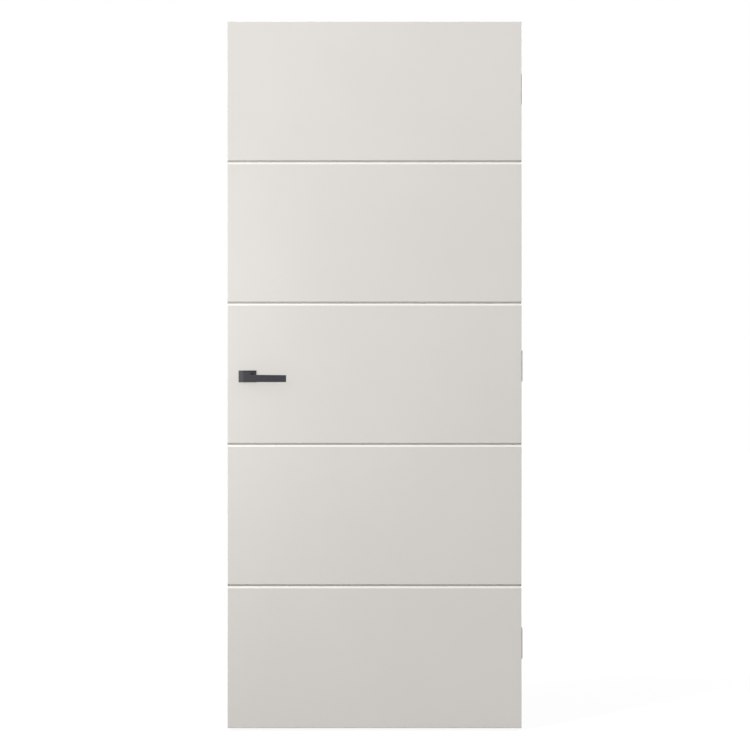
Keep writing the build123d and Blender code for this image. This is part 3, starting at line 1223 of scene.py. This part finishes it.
@dataclass
class Studio:
    """A pale floor, a bright surround, soft lamps and the camera, straight in front of the leaf."""

    floor_gap: float = 8.0 * MM
    floor_size: float = 60.0
    floor_colour: Colour = (0.22, 0.20, 0.175)
    floor_glow: float = 0.90
    floor_far_glow: float = 1.0
    floor_fade: Span = (1.5, 5.0)
    floor_shadow: float = 0.12
    sky_even: float = 0.57
    sky_slope: float = 0.41
    sky_bright_side: Point = (0.0, 0.0, -1.0)
    lamps: tuple[SoftLamp, ...] = (
        SoftLamp("key_lamp", (-4.33, -5.95, 8.17), size=2.0, power=1085.0, passes=FRONT_SET),
        SoftLamp(
            "side_lamp",
            (-1.20, -0.70, 0.10),
            size=0.6,
            power=3.0,
            passes=FRONT_LEVER,
            aim=(-0.38, 0.0, 0.0),
        ),
        SoftLamp("back_lamp", (6.20, 6.60, 3.00), size=2.0, power=680.0, passes=BACK_SET),
    )
    lens: float = 135.0
    sensor: float = 36.0
    view_width: float = 2.2447
    view_shift: Span = (1.5 * MM, -0.35 * MM)

    def leaf(self) -> tuple[Vector, Vector]:
        """Returns the leaf's lowest and highest corners."""
        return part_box("front_skin")[0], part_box("back_skin")[1]

    def floor(self) -> None:
        """Makes the floor just under the leaf: white to the camera, with a faint shadow."""
        low, high = self.leaf()
        middle = (low + high) / 2
        span = np.linspace(-self.floor_size / 2, self.floor_size / 2, 3)
        x, y = np.meshgrid(span + middle.x, span + middle.y, indexing="ij")
        points = np.stack([x, y, np.full_like(x, low.z - self.floor_gap)], axis=-1)
        grid = Surface(points, closed_columns=False)
        mesh = bpy.data.meshes.new("floor")
        mesh.from_pydata(points.reshape(-1, 3).tolist(), [], grid.quads().tolist())
        mesh.materials.append(self.floor_material())
        put_in_scene("floor", mesh)

    def floor_material(self) -> Material:
        """Makes the floor's finish.

        Returns:
            A plain pale surface for the light that it throws back, and a glowing one with a faint shadow
            where it is seen directly. The glow rises to white away from the leaf, where less light falls.
        """
        material = bpy.data.materials.new("pale_floor")
        material.use_nodes = True
        material.node_tree.nodes.clear()
        nodes = Nodes(material.node_tree)
        plain = nodes.add("ShaderNodeBsdfDiffuse", rgba(self.floor_colour))
        faint = nodes.add("ShaderNodeBsdfDiffuse", rgba((self.floor_shadow,) * 3))
        away = nodes.vector("LENGTH", nodes.add("ShaderNodeTexCoord").outputs["Object"])["Value"]
        rise = nodes.spread(away, *self.floor_fade, self.floor_glow, self.floor_far_glow)
        glow = nodes.add("ShaderNodeEmission", rgba(WHITE), rise)
        lit = nodes.add("ShaderNodeAddShader", faint.outputs[0], glow.outputs[0])
        mix = nodes.add("ShaderNodeMixShader", nodes.seen_directly(), plain.outputs[0], lit.outputs[0])
        nodes.add("ShaderNodeOutputMaterial", mix.outputs[0])
        return material

    def sky(self) -> None:
        """Makes the surround: white where it is seen, and otherwise soft light, brightest from one side.

        The light's strength is an even share plus a slope times the cosine to the bright side.
        """
        world = bpy.data.worlds.new("studio")
        bpy.context.scene.world = world
        world.use_nodes = True
        nodes = Nodes(world.node_tree)
        direction = nodes.add("ShaderNodeTexCoord").outputs["Generated"]
        cosine = nodes.vector("DOT_PRODUCT", direction, self.sky_bright_side)["Value"]
        sloped = nodes.math("MULTIPLY_ADD", cosine, self.sky_slope, self.sky_even)
        soft = nodes.math("MAXIMUM", sloped, 0.0)
        strength = nodes.spread(nodes.seen_directly(), 0.0, 1.0, soft, 1.0)
        background = world.node_tree.nodes["Background"]
        nodes.feed(background.inputs["Color"], rgba(WHITE))
        nodes.feed(background.inputs["Strength"], strength)

    def camera(self) -> None:
        """Places the camera straight in front, with the view's width measured at the front face."""
        low, high = self.leaf()
        middle = (low + high) / 2
        lens = bpy.data.cameras.new("camera")
        lens.lens = self.lens
        lens.sensor_width = self.sensor
        camera = put_in_scene("camera", lens)
        away = self.view_width * self.lens / self.sensor
        camera.location = (middle.x + self.view_shift[0], low.y - away, middle.z + self.view_shift[1])
        camera.rotation_euler = (QUARTER_TURN, 0.0, 0.0)
        bpy.context.scene.camera = camera

    def build(self) -> None:
        """Sets up the floor, the surround, the lamps and the camera."""
        low, high = self.leaf()
        self.floor()
        self.sky()
        for lamp in self.lamps:
            lamp.build((low + high) / 2)
        self.camera()
        bpy.context.scene.view_settings.view_transform = "Standard"


def hinges() -> list[Hinge]:
    """Returns the three hinges, which share their finishes."""
    plate = BrushedSteel().material("hinge_plate_steel", Grain.UPRIGHT)
    pin = BrushedSteel(gloss_low=0.2, gloss_high=0.34).material("hinge_pin_steel", Grain.TURNED)
    screw = BrushedSteel(gloss_low=0.24, gloss_high=0.36).material("hinge_screw_steel", Grain.ACROSS)
    washer = Polymer().material("washer_polymer")
    return [Hinge(name, plate, pin, screw, washer) for name in ("bottom", "middle", "top")]


def main() -> None:
    """Dresses the door, adds its small fittings and sets up the studio."""
    logging.basicConfig(level=logging.INFO, format="%(name)s: %(message)s")
    for assembly in (DoorLeaf(), LockEdge(), LeverSet(), *hinges()):
        assembly.dress()
        for piece in assembly.build():
            LOG.info("%s: %d faces", piece.name, len(piece.data.polygons))
    Studio().build()


if __name__ == "__main__":
    main()
